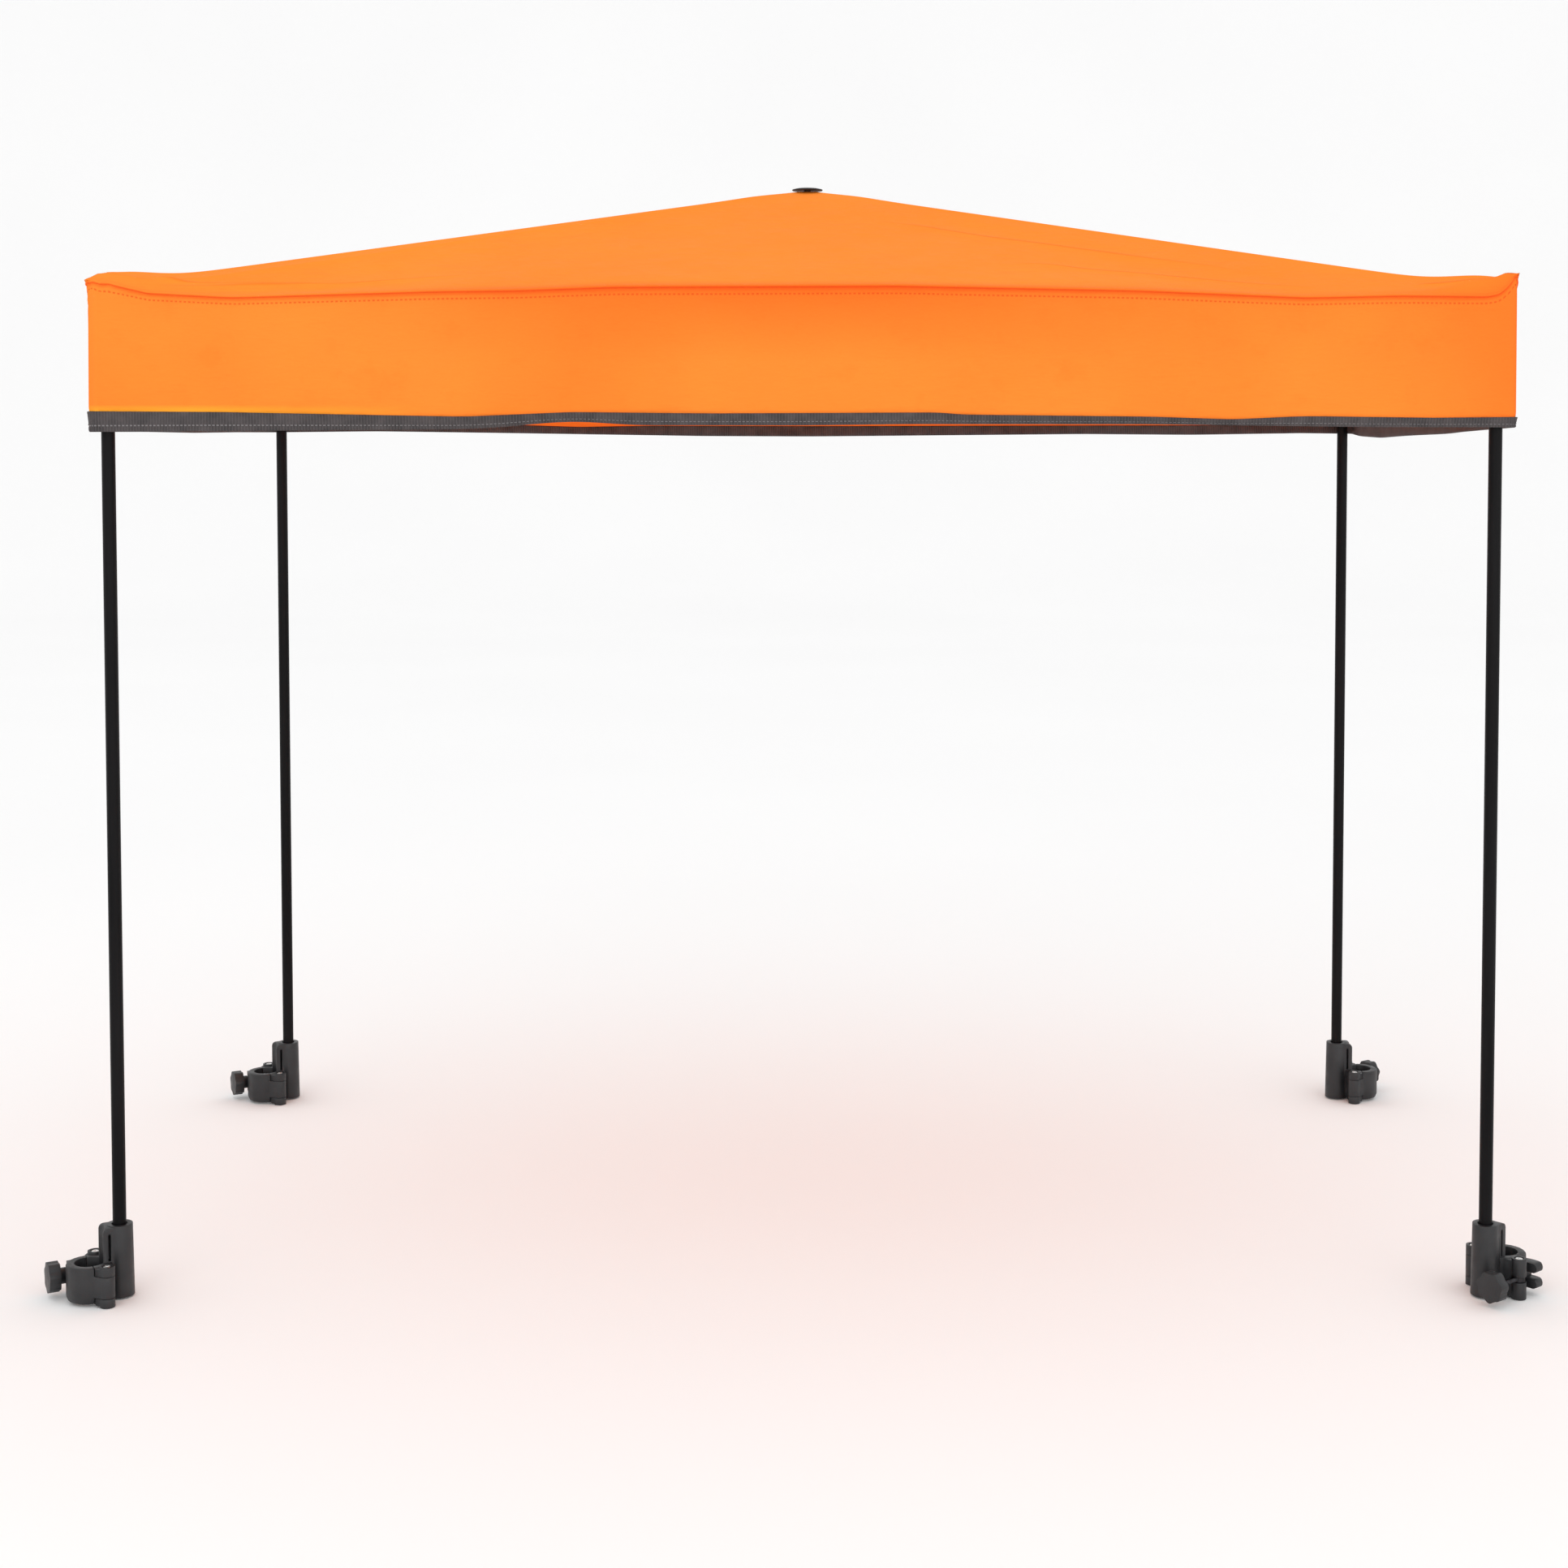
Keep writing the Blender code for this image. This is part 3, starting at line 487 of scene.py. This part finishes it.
def perimeter(step_long, step_corner):
    """Places round the cover: side number, share of the half side and distance from the front left corner."""
    edge = 0.070    # the length beside each corner that takes the short steps
    out = []
    travelled = 0.0
    for number, half in enumerate((HALF_X, HALF_Y, HALF_X, HALF_Y)):
        inner = np.linspace(-half + edge, half - edge, int((2 * half - 2 * edge) / step_long) + 1)
        near = np.linspace(0.0, edge, int(edge / step_corner) + 1)
        places = np.concatenate([-half + near[:-1], inner, half - edge + near[1:]])
        for place in places[:-1]:
            out.append((number, place / half, travelled + place + half))
        travelled += 2 * half
    out.append((0, -1.0, travelled))
    return out


PERIMETER = perimeter(0.0045, 0.0017)
SIDE = np.array([p[0] for p in PERIMETER[:-1]])
SHARE = np.array([p[1] for p in PERIMETER[:-1]])
WAY = np.array([p[2] for p in PERIMETER])
HALF_OF_SIDE = np.where(SIDE % 2 == 0, HALF_X, HALF_Y)
TO_CORNER = (1 - np.abs(SHARE)) * HALF_OF_SIDE
EDGE_X = np.choose(SIDE, [SHARE * HALF_X, HALF_X, -SHARE * HALF_X, -HALF_X])
EDGE_Y = np.choose(SIDE, [-HALF_Y, SHARE * HALF_Y, HALF_Y, -SHARE * HALF_Y])
# The outward direction of each place's side.
OUT_X = np.choose(SIDE, [0.0, 1.0, 0.0, -1.0])
OUT_Y = np.choose(SIDE, [-1.0, 0.0, 1.0, 0.0])
# How far the rounding of an upright corner reaches, and how far in each leg stands from the cover's sides.
CORNER_ROUND = 0.0040
LEG_INSET = 0.0145
# The eave's raised tips and the calm cloth beside each corner end this far from it.
CORNER_REACH = 0.035


def softened(values, passes):
    """Values round the perimeter, each averaged with its neighbours."""
    for _ in range(passes):
        values = values * 0.5 + (np.roll(values, 1) + np.roll(values, -1)) * 0.25
    return values


def heights(tables, passes):
    joined = np.empty(len(SHARE))
    for number, name in enumerate(SIDE_NAMES):
        on_side = SIDE == number
        joined[on_side] = along(tables[name], SHARE[on_side])
    return softened(joined, passes)


EAVE_HEIGHT = EAVE_Z + heights(EAVE, 2)
HEM_HEIGHT = HEM_Z + heights(HEM, 8)
TAPE_HEIGHT = TAPE_TOP_Z + heights(TAPE_TOP, 4)
CORNER_CALM = smooth_step(0.0, CORNER_REACH, TO_CORNER)


# How the cloth stands out along the sides, in wide and in small waves, and how the tape turns.
EDGE_POINTS = np.stack([EDGE_X, EDGE_Y, np.zeros(len(EDGE_X))], axis=-1)
HANG = noise_at(EDGE_POINTS, 5.0, 3, 3) * 0.0030 * CORNER_CALM
RIPPLE = noise_at(EDGE_POINTS, 16.0, 4, 2) * 0.0012 * CORNER_CALM
TWIST = noise_at(EDGE_POINTS, 8.0, 6, 2) * 0.0034 * CORNER_CALM


def drawn_in(x, down):
    """The cloth pulls in slightly at its ends, more at the left one, and less towards the hem."""
    narrow = np.where(x < 0, 0.0036 - 0.0014 * down, 0.0020 - 0.0008 * down)
    return x - np.sign(x) * narrow * smooth_step(0.80, 1.0, np.abs(x) / HALF_X)


def skirt_point_row(down, reach, height):
    """One row of the skirt. reach is outward from the cover's side; down is 0 at the eave, 1 at the hem."""
    x = EDGE_X + OUT_X * reach
    y = EDGE_Y + OUT_Y * reach
    x = drawn_in(x, down)
    y = y - np.sign(y) * 0.0016 * down * smooth_step(0.80, 1.0, np.abs(y) / HALF_Y)
    # Round the corners slightly.
    inset = CORNER_ROUND * (1 - smooth_step(0.0, CORNER_ROUND * 1.6, TO_CORNER)) * 0.45
    x = x - np.sign(EDGE_X) * inset
    y = y - np.sign(EDGE_Y) * inset
    return np.stack([x, y, height], axis=-1)


def skirt_reach(down):
    """How far the hanging cloth stands out from the cover's side."""
    tuck = -0.0020 * np.exp(-down / 0.06) * CORNER_CALM
    belly = (HANG + RIPPLE) * math.sin(math.pi * min(down, 1.0) * 0.5) ** 1.5
    return tuck + belly


def fold_height(x, y, inset):
    """Height that the small folds add to one row of the roof. inset is the distance in from the eave."""
    total = np.zeros(len(x))
    for (sx, sy), (ex, ey), height, width in ROOF_FOLDS:
        start = np.array([sx * HALF_X, sy * HALF_Y])
        way = np.array([ex * HALF_X, ey * HALF_Y]) - start
        length = np.hypot(*way)
        share = ((x - start[0]) * way[0] + (y - start[1]) * way[1]) / length ** 2
        aside = ((x - start[0]) * way[1] - (y - start[1]) * way[0]) / length
        ends = smooth_step(0.0, 0.15, share) * smooth_step(1.0, 0.7, share)
        total += height * np.exp(-(aside / width) ** 2) * ends
    return total * smooth_step(0.0, 0.012, inset)


def roof_rows():
    """Roof points from the peak's hole out to the eave."""
    coarse = np.linspace(0.012, 0.84, 88)
    fine = np.linspace(0.84, 1.0, 42)[1:]
    shares = np.concatenate([coarse, fine])
    peak = PEAK_Z + 0.0004
    # The eave without its raised corner tips.
    level = TO_CORNER >= CORNER_REACH
    base_eave = np.interp(WAY[:-1], WAY[:-1][level], EAVE_HEIGHT[level], period=WAY[-1])
    rows = []
    for t in shares:
        x = EDGE_X * t
        y = EDGE_Y * t
        z = base_eave * t + peak * (1 - t)
        from_hip = TO_CORNER * t
        inset = HALF_OF_SIDE * (1 - t)
        # Each panel dips between the hips, which the arms hold up.
        z = z - 0.0040 * smooth_step(0.0, 0.15, from_hip) * math.sin(math.pi * t) ** 0.8
        # A rounded top where the cloth passes over the hub.
        z = z + 0.0006 * math.exp(-((t - 0.075) / 0.05) ** 2)
        # The corner fitting holds the cloth up near each leg.
        to_leg = np.hypot(np.abs(x) - HALF_X + LEG_INSET, np.abs(y) - HALF_Y + LEG_INSET)
        z = z + 0.0088 * np.exp(-(to_leg / 0.040) ** 2) * smooth_step(0.0, 0.010, inset)
        # The corner's own tip of sewn cloth.
        near_eave = math.exp(-((1 - t) / 0.016) ** 2)
        z = z + (EAVE_HEIGHT - base_eave) * near_eave
        # The hip seams show as a narrow low ridge.
        z = z + 0.0008 * np.exp(-(from_hip / 0.0035) ** 2) * smooth_step(0.02, 0.1, t)
        z = z + fold_height(x, y, inset)
        rows.append(np.stack([drawn_in(x, 0.0), y, z], axis=-1))
    rows = np.array(rows)
    # Slight unevenness inside each panel.
    flat = rows.reshape(-1, 3)
    t_of = np.repeat(shares, len(EDGE_X))
    calm = smooth_step(0.0, 0.05, np.tile(TO_CORNER, len(shares)) * t_of) * smooth_step(0.03, 0.2, t_of)
    calm = calm * smooth_step(1.0, 0.93, t_of)
    flat[:, 2] += (noise_at(flat, 6.0, 1, 3) * 0.0018 + noise_at(flat, 15.0, 2) * 0.0005) * calm
    return rows


def crumple(points):
    """Crushed cloth at the front left corner's tip."""
    flat = points.reshape(-1, 3)
    away = np.linalg.norm(flat - np.array([-HALF_X, -HALF_Y, EAVE_Z + 0.002]), axis=1)
    far = 0.034
    near = np.flatnonzero(away < far)
    strength = smooth_step(far, 0.006, away[near]) * 1.5
    rough = noise_at(flat[near], 85.0, 11, 3)
    other = noise_at(flat[near], 70.0, 12, 3)
    # Mostly up and outward, so that the cloth stays clear of the fitting inside.
    flat[near, 2] += np.maximum(rough, -0.1) * 0.0030 * strength
    flat[near, 0] -= np.maximum(other, 0.0) * 0.0020 * strength
    flat[near, 1] -= np.maximum(rough - other, 0.0) * 0.0012 * strength
    return flat.reshape(points.shape)


def seam_lip():
    """The eave seam: a small rolled edge that stands out over the skirt."""
    fade = smooth_step(0.0, 0.045, TO_CORNER)
    rows = []
    for out, down in LIP:
        rows.append(skirt_point_row(0.0, out * (0.3 + 0.7 * fade), EAVE_HEIGHT - down))
    return np.array(rows)


def skirt_rows():
    """The hanging part of the cover, from under the eave seam to behind the tape."""
    downs = np.concatenate([np.linspace(0.035, 0.30, 16), np.linspace(0.32, 1.0, 34)])
    seam_at = HALF_X - 0.0080
    rows = []
    for down in downs:
        height = EAVE_HEIGHT + (TAPE_HEIGHT - 0.0016 - EAVE_HEIGHT) * down
        reach = skirt_reach(down) - 0.0002 - 0.0005 * smooth_step(0.95, 1.0, down)
        # An upright seam near the left end of the front, and one near the right end (+X) of the back.
        for side, sign in ((0, -1.0), (2, 1.0)):
            beside = np.where(SIDE == side, np.abs(EDGE_X - sign * seam_at), 1.0)
            reach = reach + 0.0010 * np.exp(-(beside / 0.0022) ** 2) * smooth_step(0.03, 0.12, down)
        # Slanting drag lines from the lower left.
        drag = np.sin((EDGE_X + down * 0.34) * 46.0) * 0.0004
        drag = drag * smooth_step(0.55, 0.9, down) * smooth_step(0.1, -0.3, EDGE_X)
        reach = reach + np.where(SIDE == 0, drag, 0.0)
        rows.append(skirt_point_row(down, reach, height))
    return np.array(rows)


def build_cover():
    roof, lip, skirt = roof_rows(), seam_lip(), skirt_rows()
    points = crumple(np.concatenate([roof, lip, skirt]))
    steps = np.linalg.norm(np.diff(points, axis=0), axis=2).mean(axis=1)
    # Distance down the cloth, counted from the eave seam.
    row_way = np.concatenate([[0.0], np.cumsum(steps)])
    row_way -= row_way[len(roof)]
    points = points + np.array([CENTRE.x, CENTRE.y, 0.0])
    cover = grid_mesh("canopy_cover", points[::-1], True, (row_way[::-1], WAY))
    give(cover, FABRIC, "canopy")
    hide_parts(*[f"{side}_{part}" for part in ("roof_panel", "valance") for side in SIDE_NAMES])
    return cover


def tape_ways():
    """Distance along the tape's fold to each of its rows."""
    height = TAPE_TOP_Z - HEM_Z
    fold = [(out, up * height) for out, up in TAPE_FOLD]
    return np.cumsum([0.0] + [math.dist(a, b) for a, b in zip(fold, fold[1:])])


def build_tape():
    """The hem tape, folded round the cloth's lower edge. Its ribs and its fold follow the cloth."""
    top_reach = skirt_reach(1.0)
    rows = []
    for out, up in TAPE_FOLD:
        height = HEM_HEIGHT + (TAPE_HEIGHT - HEM_HEIGHT) * up
        reach = top_reach + out + TWIST * (1 - up) ** 1.3 - 0.0012 * (1 - up)
        rows.append(skirt_point_row(1.0 + 0.1 * (1 - up), reach, height))
    points = np.array(rows) + np.array([CENTRE.x, CENTRE.y, 0.0])
    row_way = tape_ways()
    tape = grid_mesh("hem_binding", points[::-1], True, (row_way[::-1], WAY))
    give(tape, TAPE, "canopy")
    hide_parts(*[f"{side}_hem_tape" for side in SIDE_NAMES])
    return tape


# ---------------------------------------------------------------- hard pieces

def body_of():
    groups = frame["record"]["behaviour"]["bodies"]
    return {node: body for body, nodes in groups.items() for node in nodes}


def slot_of():
    return {part["node"]: part["material_slot"] for part in frame["record"]["subparts"]}


# Vertices closer than this are one, in metres. The angles, in degrees, are those up to which neighbouring
# faces count as one flat face, from which an edge is rounded, and from which it is shaded as sharp.
MERGE_WITHIN = 0.000002
FLAT_BELOW, ROUNDED_FROM, SHARP_FROM = 0.6, 38, 32


def refined(name, edge, segments):
    """A smooth-shaded copy of a CAD node with its edges slightly rounded, shown instead of the node."""
    node = NODES[name]
    mesh = node.data.copy()
    mesh.name = name + "_shape"
    work = bmesh.new()
    work.from_mesh(mesh)
    bmesh.ops.remove_doubles(work, verts=work.verts, dist=MERGE_WITHIN)
    bmesh.ops.dissolve_limit(work, angle_limit=math.radians(FLAT_BELOW), verts=work.verts, edges=work.edges)
    work.to_mesh(mesh)
    work.free()
    piece = bpy.data.objects.new(name + "_shape", mesh)
    bpy.context.scene.collection.objects.link(piece)
    if edge > 0:
        bevel = piece.modifiers.new("edges", "BEVEL")
        bevel.width = edge
        bevel.segments = segments
        bevel.limit_method = "ANGLE"
        bevel.angle_limit = math.radians(ROUNDED_FROM)
        bpy.context.view_layer.update()
        graph = bpy.context.evaluated_depsgraph_get()
        done = bpy.data.meshes.new_from_object(piece.evaluated_get(graph))
        piece.modifiers.clear()
        piece.data = done
    piece.data.shade_smooth()
    piece.data.set_sharp_from_angle(angle=math.radians(SHARP_FROM))
    look = DARK_STEEL if name.endswith("swing_bolt") else LOOK_OF_SLOT[SLOT_OF[name]]
    give(piece, look, BODY_OF[name])
    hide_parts(name)


def dress_nodes():
    """Every hard CAD node that shows gets its smooth copy and its material."""
    # Width and segments of the rounded edge, by the last word of the node's name. The rest have none.
    edges = {"bracket": (0.00035, 2), "jaw": (0.00035, 2), "knob": (0.0004, 2), "screw": (0.00012, 1),
             "bolt": (0.0001, 1), "cap": (0.0002, 1), "hub": (0.0004, 2), "connector": (0.0004, 2)}
    for name in sorted(NODES):
        if NODES[name].hide_render:
            continue
        edge, segments = edges.get(name.split("_")[-1], (0.0, 0))
        refined(name, edge, segments)


FABRIC = fabric_material()
TAPE = tape_material()
MOULDED = plastic_material("moulded_black", (0.011, 0.011, 0.0125), (0.020, 0.020, 0.022), 0.40, 0.56)
LOOK_OF_SLOT = {"black_steel": paint_material(), "black_plastic": MOULDED, "zinc_steel": steel_material()}
DARK_STEEL = dark_steel_material()
BODY_OF = body_of()
SLOT_OF = slot_of()
bpy.context.scene.view_settings.view_transform = "Standard"
build_camera()
build_stage()
cover = build_cover()
tape = build_tape()
dress_nodes()
